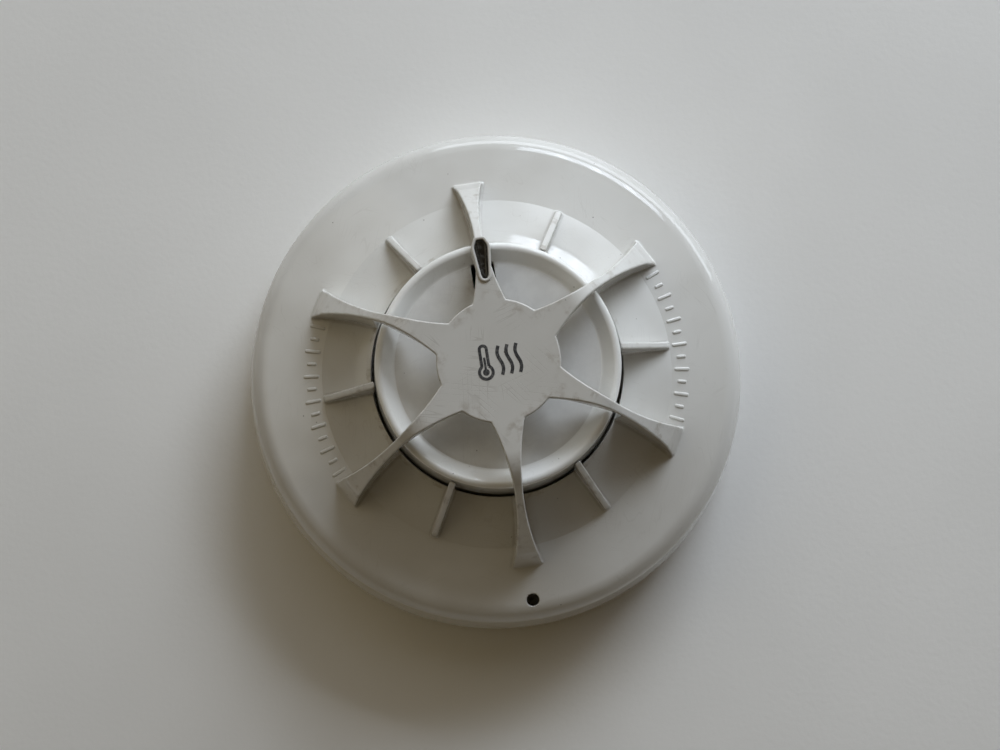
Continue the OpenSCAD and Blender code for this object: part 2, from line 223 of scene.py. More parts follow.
def base_moulding(x, y, z):
    """Round base: floor with its cable opening and slots, rim, tabs, stops and screw pads."""
    r, turn = np.hypot(x, y), np.degrees(np.arctan2(x, y))
    floor_t, rim_r, opening_r, terminal_r = 2.4, 47.2, 16, 24
    rim_side = left_of(z, r, (0, BODY_R), -2.15)
    plate = meet(rim_side, np.maximum(-z, z - floor_t), 0.3)
    rim = meet(meet(rim_side, z - BASE_H, 0.35), np.maximum(rim_r - r, 1 - z), 0.2)
    lip = meet(r - opening_r - 1.4, np.maximum(z - floor_t - 0.8, 1 - z), 0.25)
    solid = smooth_min(np.maximum(smooth_min(plate, rim, 0.5), rim_side), lip, 0.3)
    pad_x, pad_y = fold(r, turn, 90, 45)
    pads = np.minimum(np.hypot(pad_x, pad_y - terminal_r), np.hypot(x, y - terminal_r))
    solid = smooth_min(solid, meet(pads - 4.2, np.maximum(z - 3.4, 1 - z), 0.2), 0.4)
    tab = arc_block(r, turn, z, 45, 9, (43.6, rim_r + 0.6), (5.5, 7.2))
    solid = smooth_min(solid, tab, 0.3)
    for stop in (45 + 9.5, 45 - 29.5):
        block = arc_block(r, turn, z, stop, 1, (45, rim_r + 0.6), (1, 7.2))
        solid = smooth_min(solid, block, 0.3)
    beside = np.abs(np.abs((turn - 180 + 180) % 360 - 180) - 4.4) - 1
    ledge = meet(np.radians(beside) * LOCK_R, np.maximum(41.2 - r, r - rim_r - 0.5), 0.2)
    solid = smooth_min(solid, meet(ledge, np.maximum(z - 5, 1 - z), 0.2), 0.3)
    slot = np.hypot(np.maximum(np.abs(np.abs(x) - 30) - 4.5, 0), y) - 2.2
    screws = np.maximum(pads - 1.75, 0.8 - z)
    solid = smooth_max(np.maximum(solid, -screws), -slot, 0.3)
    return meet(solid, opening_r - r, 0.3)


# ---- Meshing a distance field on a grid of radii, turns and heights ----

def lines(*stretches):
    """Grid values: each stretch is (start, end, spacing). The count is a whole number of blocks."""
    values = []
    for start, end, spacing in stretches:
        count = max(1, round((end - start) / (spacing * COARSE)))
        values += list(start + (end - start) * np.arange(count) / count)
    values.append(stretches[-1][1])
    last = values[-1] - values[-2]
    while (len(values) - 1) % BLOCK:
        values.append(values[-1] + last)
    return np.array(values)


BLOCK = 8
SPIN = np.array([(i, j, k) for i in (0, 1) for j in (0, 1) for k in (0, 1)])
CELL_EDGES = [(a, b) for a in range(8) for b in range(8)
              if b > a and abs(SPIN[a] - SPIN[b]).sum() == 1]


class Grid:
    """A cylindrical grid whose turns close on themselves."""

    def __init__(self, radii, turns, heights):
        self.radii, self.turns, self.heights = radii, turns, heights
        self.shape = np.array([len(radii) - 1, len(turns), len(heights) - 1])

    def points(self, i, j, k):
        r, a = self.radii[i], self.turns[j % len(self.turns)]
        return np.stack([r * np.sin(a), r * np.cos(a), self.heights[k]], -1)

    def cell_id(self, i, j, k):
        return (i * self.shape[1] + j % self.shape[1]) * self.shape[2] + k


def evaluate(field, points):
    flat = points.reshape(-1, 3)
    out = np.empty(len(flat))
    step = 400000
    for s in range(0, len(flat), step):
        out[s:s + step] = field(*flat[s:s + step].T)
    return out.reshape(points.shape[:-1])


def slope(field, points, reach=0.02):
    """Direction in which a field rises."""
    ways = np.array([(1, -1, -1), (-1, -1, 1), (-1, 1, -1), (1, 1, 1)]) * reach
    return sum(evaluate(field, points + w)[:, None] * w for w in ways) / (4 * reach * reach)


def settle(field, points, rounds=3):
    """Points moved onto the surface of a field."""
    for _ in range(rounds):
        g = slope(field, points)
        size = np.maximum((g * g).sum(1), 0.2)
        move = np.clip(evaluate(field, points) / size, -0.25, 0.25)
        points = points - g * move[:, None]
    return points


def active_blocks(field, grid):
    """Blocks of cells that the surface may pass through."""
    n = grid.shape // BLOCK
    i, j, k = (a.ravel() * BLOCK for a in np.meshgrid(*map(np.arange, n), indexing="ij"))
    centre = grid.points(i + BLOCK // 2, j + BLOCK // 2, k + BLOCK // 2)
    corners = [grid.points(i + a * BLOCK, j + b * BLOCK, k + c * BLOCK) for a, b, c in SPIN]
    reach = np.max([np.linalg.norm(c - centre, axis=1) for c in corners], axis=0)
    keep = np.abs(evaluate(field, centre)) < reach * 1.15 + 0.1
    return i[keep], j[keep], k[keep]


def surface(field, grid):
    """Vertices and four-cornered faces of a field's surface, one vertex to a cell it crosses."""
    bi, bj, bk = active_blocks(field, grid)
    a = np.arange(BLOCK + 1)
    ni = bi[:, None, None, None] + a[None, :, None, None]
    nj = bj[:, None, None, None] + a[None, None, :, None]
    nk = bk[:, None, None, None] + a[None, None, None, :]
    ni, nj, nk = np.broadcast_arrays(ni, nj, nk)
    value = evaluate(field, grid.points(ni, nj, nk))
    inside = value < 0

    def corner(block, d):
        cut = tuple(slice(x, x + BLOCK) for x in d)
        return block[(slice(None),) + cut]

    count = sum(corner(inside, d).astype(np.int8) for d in SPIN)
    b, i, j, k = np.nonzero((count > 0) & (count < 8))
    ids = grid.cell_id(ni[b, i, j, k], nj[b, i, j, k], nk[b, i, j, k])
    order = np.argsort(ids)
    b, i, j, k, ids = b[order], i[order], j[order], k[order], ids[order]
    values = np.stack([value[b, i + d[0], j + d[1], k + d[2]] for d in SPIN], 1)
    places = np.stack([grid.points(ni[b, i, j, k] + d[0], nj[b, i, j, k] + d[1],
                                   nk[b, i, j, k] + d[2]) for d in SPIN], 1)
    total = np.zeros((len(ids), 3))
    hits = np.zeros(len(ids))
    for p, q in CELL_EDGES:
        crossed = (values[:, p] < 0) != (values[:, q] < 0)
        gap = values[:, p] - values[:, q]
        t = np.where(crossed, values[:, p] / np.where(gap == 0, 1, gap), 0)
        total += np.where(crossed[:, None], places[:, p] + (places[:, q] - places[:, p]) * t[:, None], 0)
        hits += crossed
    vertices = total / hits[:, None]

    faces = []
    for axis in range(3):
        ahead = np.roll([1, 0, 0], axis)
        here, there = corner(inside, (0, 0, 0)), corner(inside, ahead)
        b, i, j, k = np.nonzero(here != there)
        node = np.stack([ni[b, i, j, k], nj[b, i, j, k], nk[b, i, j, k]])
        u, v = np.roll([0, 1, 0], axis), np.roll([0, 0, 1], axis)
        around = [node - u[:, None] - v[:, None], node - v[:, None], node, node - u[:, None]]
        real = np.all([(c[0] >= 0) & (c[2] >= 0) for c in around], axis=0)
        quad = np.stack([grid.cell_id(*c) for c in around], 1)[real]
        rising = here[b, i, j, k][real]
        quad = np.where(rising[:, None], quad, quad[:, ::-1])
        faces.append(np.searchsorted(ids, quad))
    return vertices, np.concatenate(faces)[:, ::-1]


def moulded(name, field, grid, most, crease_edge_reach=0.6, line=None):
    """A moulded part: meshed, thinned to at most a number of triangles, with exact normals."""
    points, faces = surface(field, grid)
    points = settle(field, points)
    if line:
        points = pull_to_line(field, points, grid, line)
    mesh = bpy.data.meshes.new(name)
    mesh.from_pydata(points * MM, [], faces.tolist())
    bm = bmesh.new()
    bm.from_mesh(mesh)
    open_edges = [e for e in bm.edges if e.is_boundary]
    bmesh.ops.holes_fill(bm, edges=open_edges, sides=0)
    bmesh.ops.triangulate(bm, faces=bm.faces)
    bm.to_mesh(mesh)
    triangles = len(bm.faces)
    bm.free()
    piece = bpy.data.objects.new(name, mesh)
    bpy.context.scene.collection.objects.link(piece)
    if triangles > most:
        thin = piece.modifiers.new("thin", "DECIMATE")
        thin.ratio = most / triangles
        thinned = bpy.data.meshes.new_from_object(
            piece.evaluated_get(bpy.context.evaluated_depsgraph_get()))
        piece.modifiers.clear()
        piece.data = thinned
    finish_surface(piece, field, crease_edge_reach, line)
    return piece


def pull_to_line(field, points, grid, line):
    """Vertices of the cells that a round fold line runs through, moved onto it."""
    radius, low = line
    cell = np.searchsorted(grid.radii, radius)
    r = np.hypot(points[:, 0], points[:, 1])
    on = (r > grid.radii[cell - 1]) & (r < grid.radii[cell]) & (points[:, 2] > low)
    moved = points[on]
    for _ in range(2):
        moved[:, :2] *= (radius / np.hypot(moved[:, 0], moved[:, 1]))[:, None]
        moved = settle(field, moved, 1)
    points[on] = moved
    return points


def folded_normals(mesh, field, points, normal, line):
    """Normals of face corners, with those near a round fold line taken from the corner's own side."""
    count = len(mesh.loops)
    vertex, corners = np.empty(count, np.int32), np.empty(len(mesh.polygons), np.int32)
    mesh.loops.foreach_get("vertex_index", vertex)
    mesh.polygons.foreach_get("loop_total", corners)
    centre = np.empty(len(mesh.polygons) * 3)
    mesh.polygons.foreach_get("center", centre)
    centre = np.repeat(centre.reshape(-1, 3) / MM, corners, axis=0)
    out = normal[vertex]
    place = points[vertex]
    r = np.hypot(place[:, 0], place[:, 1])
    side = np.sign(np.hypot(centre[:, 0], centre[:, 1]) - line[0])
    near = np.nonzero((np.abs(r - line[0]) < 0.25) & (place[:, 2] > line[1]) & (out[:, 2] > 0.8))[0]
    beside = place[near]
    beside[:, :2] *= (1 + 0.3 * side[near] / r[near])[:, None]
    turned = slope(field, beside)
    turned /= np.maximum(np.linalg.norm(turned, axis=1), 1e-9)[:, None]
    kept = turned[:, 2] > 0.8
    out[near[kept]] = turned[kept]
    return out


def finish_surface(piece, field, crease_edge_reach, line=None):
    """Exact normals, and how far each vertex lies in a crease or on an edge."""
    mesh = piece.data
    points = np.empty(len(mesh.vertices) * 3)
    mesh.vertices.foreach_get("co", points)
    points = settle(field, points.reshape(-1, 3) / MM, 1)
    mesh.vertices.foreach_set("co", (points * MM).ravel())
    normal = slope(field, points)
    normal /= np.maximum(np.linalg.norm(normal, axis=1), 1e-9)[:, None]
    mesh.polygons.foreach_set("use_smooth", [True] * len(mesh.polygons))
    if line:
        mesh.normals_split_custom_set(folded_normals(mesh, field, points, normal, line))
    else:
        mesh.normals_split_custom_set_from_vertices(normal)
    out = evaluate(field, points + normal * crease_edge_reach) / crease_edge_reach
    back = evaluate(field, points - normal * crease_edge_reach) / -crease_edge_reach
    for label, share in (("crease", 1 - out), ("edge", 1 - back)):
        layer = mesh.attributes.new(label, "FLOAT", "POINT")
        layer.data.foreach_set("value", np.clip(share, 0, 1).astype(np.float32))
    mesh.update()


# ---- Small pieces made of stacked rings ----

def add_mesh(name, points, faces, smooth=True):
    mesh = bpy.data.meshes.new(name)
    mesh.from_pydata([tuple(p) for p in np.asarray(points) * MM], [], faces)
    bm = bmesh.new()
    bm.from_mesh(mesh)
    bmesh.ops.recalc_face_normals(bm, faces=bm.faces)
    bm.to_mesh(mesh)
    bm.free()
    mesh.polygons.foreach_set("use_smooth", [smooth] * len(mesh.polygons))
    piece = bpy.data.objects.new(name, mesh)
    bpy.context.scene.collection.objects.link(piece)
    return piece


def stack(rings, closed=False):
    """Points and faces of rings joined one to the next, capped, or closed into a loop."""
    n, count = len(rings[0]), len(rings)
    points = np.concatenate(rings)
    faces = []
    for s in range(count if closed else count - 1):
        a, b = s * n, (s + 1) % count * n
        faces += [[a + i, a + (i + 1) % n, b + (i + 1) % n, b + i] for i in range(n)]
    if not closed:
        faces += [list(range(n)), list(range((count - 1) * n, count * n))]
    return points, faces


def merged(parts):
    """Points and faces of several closed parts as one mesh."""
    points, faces, start = [], [], 0
    for p, f in parts:
        points.append(p)
        faces += [[i + start for i in face] for face in f]
        start += len(p)
    return np.concatenate(points), faces


def sharpen(piece, angle=40):
    piece.data.set_sharp_from_angle(angle=math.radians(angle))
    return piece


def outline(level, count=96):
    """Points at one distance from the lens outline, found outward from a point inside it."""
    centre = np.array([0, LENS_OUT_Y - 1.9])
    a = np.arange(count) * 2 * math.pi / count
    ways = np.stack([np.sin(a), np.cos(a)], 1)
    low, high = np.zeros(count), np.full(count, 6.0)
    for _ in range(40):
        mid = (low + high) / 2
        p = centre + ways * mid[:, None]
        out = lens_distance(p[:, 0], p[:, 1]) > level
        high, low = np.where(out, mid, high), np.where(out, low, mid)
    return centre + ways * low[:, None]


def flat_ring(plan, z):
    return np.column_stack([plan, np.full(len(plan), z)])


def rounded_steps(inset, drop, radius, steps=4):
    """(inset, drop) pairs round a top edge, from the side wall to the top."""
    a = np.linspace(0, math.pi / 2, steps + 1)
    return [(inset + radius * (1 - math.cos(t)), drop - radius * math.sin(t)) for t in a]


def indicator_frame():
    """Raised frame round the indicator lens, with a rounded rim."""
    low, round_r = TOP_Z - 5.6, 0.2
    section = [(0.02, low), (0.02, TOP_Z - round_r)]
    section += [(0.02 + round_r * (1 - math.cos(t)), TOP_Z - round_r * (1 - math.sin(t)))
                for t in np.linspace(0.3, math.pi / 2, 4)]
    section += [(FRAME_W - round_r * (1 - math.cos(t)), TOP_Z - round_r * (1 - math.sin(t)))
                for t in np.linspace(math.pi / 2, 0, 5)]
    section += [(FRAME_W, low)]
    rings = [flat_ring(outline(d, 128), z) for d, z in section]
    return sharpen(add_mesh("indicator_frame", *stack(rings, closed=True)))


def light_pipe():
    """Smoky lens with a softly crowned, fluted top, on a round rod down to the lamp."""
    low, gap = extent("light_pipe")[0][2], 0.03
    rod_top = TOP_Z - 5.7
    rings = [flat_ring(outline(-gap, 128), rod_top - 0.4)]
    for inset, drop in rounded_steps(gap, 0.25, 0.22):
        rings.append(flat_ring(outline(-inset, 128), LENS_TOP - drop - 0.05))
    for share in (0.7, 0.85):
        rings.append(flat_ring(outline(-0.62 * share, 128), LENS_TOP - 0.08 - 0.1 * share))
    rod_r, rod_y = 1.25, 16.8
    a = np.arange(48) * 2 * math.pi / 48
    circle = np.stack([np.sin(a), np.cos(a)], 1)
    rod = [flat_ring(circle * s + (0, rod_y), z) for s, z in
           ((rod_r - 0.2, low), (rod_r, low + 0.2), (rod_r, rod_top - 0.3))]
    piece = add_mesh("light_pipe_lens", *merged([stack(rings), stack(rod)]))
    return sharpen(piece)


def bead():
    """Epoxy drop over the thermistor, slightly flattened and drawn down along its leads."""
    r, flat, count = 1.2, 0.86, 40
    a = np.arange(count) * 2 * math.pi / count
    rings = []
    for s in np.linspace(0.12, 0.93, 24) * math.pi:
        size = r * math.sin(s) ** 0.85
        rings.append(np.column_stack([size * np.sin(a), size * flat * np.cos(a),
                                      np.full(count, BEAD_Z + r * math.cos(s))]))
    return sharpen(add_mesh("thermistor_drop", *stack(rings)), 60)


def face_point(r, turn, lift):
    """A point on the sloping face, or above it."""
    slope_angle = math.radians(FACE_SLOPE)
    r = r + lift * math.sin(slope_angle)
    z = CONE_Z - (r - CONE_R) * math.tan(slope_angle) + lift * math.cos(slope_angle)
    return np.array([r * math.sin(turn), r * math.cos(turn), z])


def raised_bar(r0, r1, turn, half_w, height):
    """A rounded bar standing on the face along a radius."""
    count = 12
    a = np.arange(count + 1) / count * math.pi
    rings = []
    for inset, lift in [(-0.12, -0.3), (-0.12, 0.0), (-0.03, 0.06)] + [
            (0.14 * (1 - math.cos(t)), height - 0.14 * (1 - math.sin(t)))
            for t in np.linspace(0, math.pi / 2, 4)]:
        w = half_w - inset
        ring = []
        for end, centre, start in ((1, r1 - half_w, 0), (-1, r0 + half_w, math.pi)):
            for t in a + start:
                across, along = w * math.cos(t), centre + w * math.sin(t)
                ring.append(face_point(along, turn + across / along, lift))
        rings.append(np.array(ring))
    return stack(rings)


def raised_marks():
    """Two arcs of plain bars, long and short by turns, like the marks of a scale."""
    parts, count, half_span = [], 13, 23.3
    for middle in (90, -90):
        for n in range(count):
            turn = math.radians(middle + half_span * (2 * n / (count - 1) - 1))
            r0, r1 = (34.1, 37.0) if n % 2 == 0 else (34.7, 36.4)
            parts.append(raised_bar(r0, r1, turn, 0.26, 0.25))
    return sharpen(add_mesh("raised_marks", *merged(parts)), 50)


def ink(plan, thickness=0.025):
    """A closed outline printed on the plate."""
    plan = np.array(plan)
    return stack([flat_ring(plan, PLATE_Z - 0.05), flat_ring(plan, PLATE_Z + thickness)])


def arc(cx, cy, r, start, end, count):
    t = np.radians(np.linspace(start, end, count))
    return [(cx + r * math.cos(a), cy + r * math.sin(a)) for a in t]


def stroke(path, half_w):
    """Outline of a line of even width with square ends."""
    path = np.array(path, float)
    along = np.gradient(path, axis=0)
    along /= np.linalg.norm(along, axis=1)[:, None]
    side = np.stack([-along[:, 1], along[:, 0]], 1) * half_w
    return np.concatenate([path + side, (path - side)[::-1]])


def printed_mark():
    """A thermometer and three rising waves, printed in dark ink."""
    x, bulb_y, bulb_r, stem_half, stem_top, line = -2.45, -1.75, 1.2, 0.62, 2.35, 0.27
    open_at = math.degrees(math.asin(stem_half / bulb_r))
    wall = arc(x, bulb_y, bulb_r, 90 - open_at, -270 + open_at, 40)
    wall += arc(x, stem_top, stem_half, 180, 0, 14)
    wall.append(wall[0])
    parts = [ink(stroke(wall, line))]
    drop = arc(x, bulb_y, 0.6, 70, -250, 28)
    drop += [(x - 0.2, 0.9), (x + 0.2, 0.9)]
    parts.append(ink(drop))
    for n in range(3):
        t = np.linspace(0, 1, 24)
        wave = np.column_stack([0.3 + 1.6 * n + 0.36 * np.sin(t * 2 * math.pi), -2.6 + 5.2 * t])
        parts.append(ink(stroke(wave, 0.3)))
    return sharpen(add_mesh("printed_mark", *merged(parts)))


# ---- Materials ----

class Finish:
    """A material made of a Principled shader and noise in millimetres of the object's own space."""

    def __init__(self, name, roughness=0.4, **constants):
        self.material = bpy.data.materials.new(name)
        self.material.use_nodes = True
        self.tree = self.material.node_tree
        self.shader = self.tree.nodes["Principled BSDF"]
        self.shader.inputs["Roughness"].default_value = roughness
        for socket, value in constants.items():
            self.shader.inputs[socket.replace("_", " ")].default_value = value
        place = self.tree.nodes.new("ShaderNodeTexCoord")
        self.place = self.node("ShaderNodeVectorMath", operation="SCALE", Scale=1 / MM,
                               Vector=place.outputs["Object"]).outputs["Vector"]
        apart = self.node("ShaderNodeSeparateXYZ", Vector=self.place)
        self.x, self.y, self.z = (apart.outputs[a] for a in "XYZ")

    def node(self, kind, **settings):
        made = self.tree.nodes.new(kind)
        for key, value in settings.items():
            if key in made.inputs:
                if isinstance(value, bpy.types.NodeSocket):
                    self.tree.links.new(value, made.inputs[key])
                else:
                    made.inputs[key].default_value = value
            else:
                setattr(made, key, value)
        return made

    def maths(self, operation, a, b=0.0, clamp=False):
        made = self.tree.nodes.new("ShaderNodeMath")
        made.operation, made.use_clamp = operation, clamp
        for socket, value in zip(made.inputs, (a, b)):
            if isinstance(value, bpy.types.NodeSocket):
                self.tree.links.new(value, socket)
            else:
                socket.default_value = value
        return made.outputs[0]

    def moved(self, stretch=(1, 1, 1), spin=(0, 0, 0), shift=(0, 0, 0)):
        """The object's own space shifted and turned, and then stretched."""
        turned = self.node("ShaderNodeMapping", Vector=self.place, Location=shift,
                           Rotation=tuple(math.radians(a) for a in spin)).outputs[0]
        return self.node("ShaderNodeMapping", Vector=turned, Scale=stretch).outputs[0]

    def noise(self, size, detail=3.0, rough=0.5, where=None):
        """Smooth noise whose blobs are about size millimetres."""
        return self.node("ShaderNodeTexNoise", Vector=where or self.place, Scale=1 / size, Detail=detail,
                         Roughness=rough).outputs["Fac"]

    def cells(self, size, feature="F1", where=None, **settings):
        return self.node("ShaderNodeTexVoronoi", Vector=where or self.place, Scale=1 / size,
                         feature=feature, **settings).outputs["Distance"]

    def band(self, value, low, high, floor=0.0, top=1.0):
        """A value stretched so that low becomes floor and high becomes top."""
        return self.node("ShaderNodeMapRange", Value=value, interpolation_type="SMOOTHSTEP",
                         **{"From Min": low, "From Max": high, "To Min": floor, "To Max": top}).outputs[0]

    def attribute(self, name):
        return self.node("ShaderNodeAttribute", attribute_name=name).outputs["Fac"]

    def blend(self, share, a, b):
        made = self.node("ShaderNodeMix", data_type="RGBA")
        for socket, value in zip((made.inputs[0], made.inputs[6], made.inputs[7]), (share, a, b)):
            if isinstance(value, bpy.types.NodeSocket):
                self.tree.links.new(value, socket)
            else:
                socket.default_value = value if isinstance(value, float) else (*value, 1)
        return made.outputs[2]

    def set(self, socket, value):
        self.tree.links.new(value, self.shader.inputs[socket])

    def bump(self, *layers):
        """Each layer is (height, depth in millimetres)."""
        normal = None
        for height, depth in layers:
            made = self.node("ShaderNodeBump", Height=height, Strength=1.0, Distance=depth * MM)
            if normal:
                self.tree.links.new(normal, made.inputs["Normal"])
            normal = made.outputs[0]
        self.set("Normal", normal)

    def scratches(self, spacing, length, spin, seed, width=0.05):
        """Sparse hairlines that run one way, where stretched noise passes its middle value."""
        where = self.moved((1, spacing / length, 1), (0, 0, spin), (seed, seed * 2, 0))
        height = self.maths("ABSOLUTE", self.maths("SUBTRACT", self.noise(spacing, 0, 0.5, where), 0.5))
        line = self.band(height, 0.3 * width / spacing, 0.6 * width / spacing, 1, 0)
        patch = self.noise(length * 0.4, 1, 0.5, self.moved(shift=(seed, -seed, seed)))
        return self.maths("MULTIPLY", line, self.band(patch, 0.58, 0.68))


def white_plastic(name, clean, dusty, crease_dirt_shade_amount=0.5, top_grey_matt=0.0, gloss=0.2, scuffed=0.5, deep=None):
    """Moulded white polycarbonate: fine texture, hairlines, dirt and painted shade in creases, and scuffs on
    edges.
    """
    f = Finish(name, IOR=1.5)
    crease, edge = f.attribute("crease"), f.attribute("edge")
    broad, mid, fine = f.noise(17, 3), f.noise(2.6, 4, 0.6), f.noise(0.35, 3, 0.6)
    speckle = f.noise(1.6, 3, 0.6)
    high = f.band(f.z, PLATE_Z - 5, PLATE_Z - 1)
    colour = f.blend(f.band(broad, 0.35, 0.65), clean, dusty)
    # Greyer and rougher towards the top, over the plate and the arms.
    colour = f.blend(f.maths("MULTIPLY", high, top_grey_matt * 1.6), colour, (0.52, 0.50, 0.46))
    if deep:
        colour = deep(f, colour)
    # Creases and corners darkened towards brown: partly dirt, partly painted shade where the hollows fall
    # into shade.
    crease_dirt_shade = f.maths("MULTIPLY", f.band(crease, 0.08, 0.45), f.band(mid, 0.3, 0.62, 0.2, 1))
    colour = f.blend(f.maths("MULTIPLY", crease_dirt_shade, crease_dirt_shade_amount), colour, (0.16, 0.13, 0.095))
    rub = f.maths("MULTIPLY", f.band(edge, 0.1, 0.3), f.band(speckle, 0.4, 0.66))
    rub = f.maths("MULTIPLY", rub, f.band(f.noise(5, 2), 0.46, 0.62, 0.1, 1))
    colour = f.blend(f.maths("MULTIPLY", rub, 0.5 * scuffed), colour, (0.27, 0.215, 0.15))
    streak = f.noise(0.9, 5, 0.75, f.moved((1, 0.22, 1), (0, 0, 24)))
    smear = f.maths("MULTIPLY", f.band(streak, 0.56, 0.76), f.band(f.noise(4, 2), 0.54, 0.68))
    smear = f.maths("MULTIPLY", smear, f.maths("ADD", 0.15, high, True))
    colour = f.blend(f.maths("MULTIPLY", smear, 0.22 * scuffed), colour, (0.30, 0.26, 0.21))
    hair = f.scratches(1.3, 30, 20, 3.1)
    for spin, seed in ((-38, 11.7), (71, 23.3), (5, 31.9), (-75, 47.2)):
        hair = f.maths("MAXIMUM", hair, f.scratches(1.1, 24, spin, seed, 0.035))
    hair = f.maths("MULTIPLY", hair, f.maths("ADD", 0.3, high, True))
    colour = f.blend(f.maths("MULTIPLY", hair, 0.3 * scuffed), colour, (0.26, 0.23, 0.19))
    dots = f.band(f.cells(2.4), 0.03, 0.07, 1, 0)
    dots = f.maths("MULTIPLY", dots, f.band(f.noise(6, 2, 0.5, f.moved(shift=(40, 9, 2))), 0.54, 0.6))
    colour = f.blend(f.maths("MULTIPLY", dots, 0.8), colour, (0.09, 0.07, 0.05))
    f.set("Base Color", colour)
    rough = f.maths("ADD", f.band(mid, 0.2, 0.8, gloss - 0.03, gloss + 0.05), f.maths("MULTIPLY", high, top_grey_matt))
    rough = f.maths("ADD", rough, f.maths("MULTIPLY", f.maths("MAXIMUM", hair, smear), 0.25), True)
    f.set("Roughness", f.maths("ADD", rough, f.maths("MULTIPLY", crease_dirt_shade, 0.3), True))
    f.bump((f.noise(28, 2), 0.08), (fine, 0.002), (f.maths("MULTIPLY", hair, -1), 0.008))
    return f.material


def dusty_dish(f, colour):
    """Grey dust on the floor inside the ring, with drifts in it."""
    radius = f.node("ShaderNodeVectorMath", operation="LENGTH", Vector=f.moved((1, 1, 0))).outputs["Value"]
    inside = f.band(radius, 18.72, 18.85, 1, 0)
    drift = f.band(f.noise(4.5, 4, 0.6), 0.35, 0.65, 0.6, 0.95)
    return f.blend(f.maths("MULTIPLY", inside, drift), colour, (0.71, 0.705, 0.69))


def smoky_lens():
    f = Finish("smoky_lens", IOR=1.52, Coat_Weight=0.6, Coat_Roughness=0.08)
    streak = f.noise(0.3, 3, 0.6, f.moved((1, 0.06, 1), (0, 0, 3)))
    dust = f.noise(0.8, 4, 0.6)
    colour = f.blend(f.band(streak, 0.5, 0.68), (0.010, 0.009, 0.007), (0.085, 0.078, 0.066))
    f.set("Base Color", f.blend(f.band(dust, 0.55, 0.8, 0, 0.4), colour, (0.2, 0.19, 0.17)))
    f.set("Roughness", f.band(dust, 0.35, 0.7, 0.12, 0.4))
    f.bump((streak, 0.05), (dust, 0.008))
    return f.material


def dark_ink():
    f = Finish("dark_ink")
    worn = f.noise(0.45, 4, 0.7)
    f.set("Base Color", f.blend(f.band(worn, 0.42, 0.75), (0.035, 0.036, 0.04), (0.16, 0.155, 0.15)))
    f.set("Roughness", f.band(worn, 0.3, 0.7, 0.35, 0.6))
    f.bump((worn, 0.004))
    return f.material


def metal(name, colour, tarnish, roughness=0.3, grain=(1, 1, 1), spots=0.5):
    """Bare or plated metal with grain, tarnish and small marks."""
    f = Finish(name, Metallic=1.0)
    stain, marks = f.noise(1.6, 4, 0.65), f.noise(0.35, 4, 0.7)
    lay = f.noise(0.12, 2, 0.5, f.moved(grain))
    tone = f.blend(f.band(stain, 0.4, 0.72), colour, tarnish)
    f.set("Base Color", f.blend(f.band(marks, 0.6, 0.8, 0, spots), tone, tuple(c * 0.4 for c in tarnish)))
    f.set("Roughness", f.maths("ADD", f.band(stain, 0.3, 0.7, roughness, roughness + 0.2),
                               f.band(lay, 0.3, 0.7, 0, 0.1)))
    f.bump((lay, 0.006), (marks, 0.008))
    return f.material


def moulded_black(name, colour):
    """Matt black resin with a fine grain."""
    f = Finish(name)
    grain, broad = f.noise(0.16, 3, 0.6), f.noise(1.8, 3)
    lighter = tuple(c * 2.2 + 0.02 for c in colour)
    f.set("Base Color", f.blend(f.band(broad, 0.35, 0.7), colour, lighter))
    f.set("Roughness", f.band(grain, 0.3, 0.7, 0.42, 0.62))
    f.bump((grain, 0.012), (broad, 0.02))
    return f.material


def green_board():
    """Solder mask over copper tracks that turn in right angles, with tinned vias."""
    f = Finish("green_board", Coat_Weight=0.35, Coat_Roughness=0.2)
    tracks = f.cells(2.1, "DISTANCE_TO_EDGE", f.moved((1, 1, 0.01)), distance="EUCLIDEAN")
    steps = f.node("ShaderNodeTexVoronoi", Vector=f.moved((1, 1, 0.01), shift=(3, 1, 0)), Scale=1 / 3.4,
                   distance="CHEBYCHEV", feature="F1").outputs["Distance"]
    line = f.band(f.maths("ABSOLUTE", f.maths("SUBTRACT", steps, 0.42)), 0.03, 0.06, 1, 0)
    via = f.band(f.cells(2.9, where=f.moved((1, 1, 0.01), shift=(8, 5, 0))), 0.09, 0.13, 1, 0)
    mottled = f.noise(0.9, 4)
    mask = f.blend(f.band(mottled, 0.3, 0.7), (0.008, 0.09, 0.035), (0.015, 0.13, 0.05))
    mask = f.blend(f.maths("MULTIPLY", line, 0.8), mask, (0.05, 0.28, 0.10))
    f.set("Base Color", f.blend(via, mask, (0.62, 0.6, 0.55)))
    f.set("Metallic", f.maths("MULTIPLY", via, 0.9))
    f.set("Roughness", f.band(mottled, 0.3, 0.7, 0.25, 0.42))
    f.bump((line, 0.03), (f.band(tracks, 0.0, 0.1, 1, 0), 0.01), (mottled, 0.005))
    return f.material


def printed_sleeve():
    """Capacitor can: dark sleeve with a pale stripe, bare metal at the scored top."""
    f = Finish("printed_sleeve")
    low, high = extent("smoothing_capacitors")[0][2], extent("smoothing_capacitors")[1][2]
    top = f.band(f.z, high - 0.35, high - 0.2)
    stripe = f.band(f.maths("ABSOLUTE", f.y), 4.2, 4.5, 0, 1)
    grain = f.noise(0.5, 4)
    sleeve = f.blend(f.maths("MULTIPLY", stripe, 0.9), (0.015, 0.02, 0.05), (0.55, 0.56, 0.58))
    sleeve = f.blend(f.band(grain, 0.45, 0.75, 0, 0.2), sleeve, (0.12, 0.12, 0.13))
    f.set("Base Color", f.blend(top, sleeve, (0.75, 0.75, 0.76)))
    f.set("Metallic", top)
    f.set("Roughness", f.band(grain, 0.3, 0.7, 0.28, 0.45))
    ripple = f.maths("SINE", f.maths("MULTIPLY", f.maths("SUBTRACT", f.z, low), 2.2))
    f.bump((ripple, 0.01), (grain, 0.01))
    return f.material


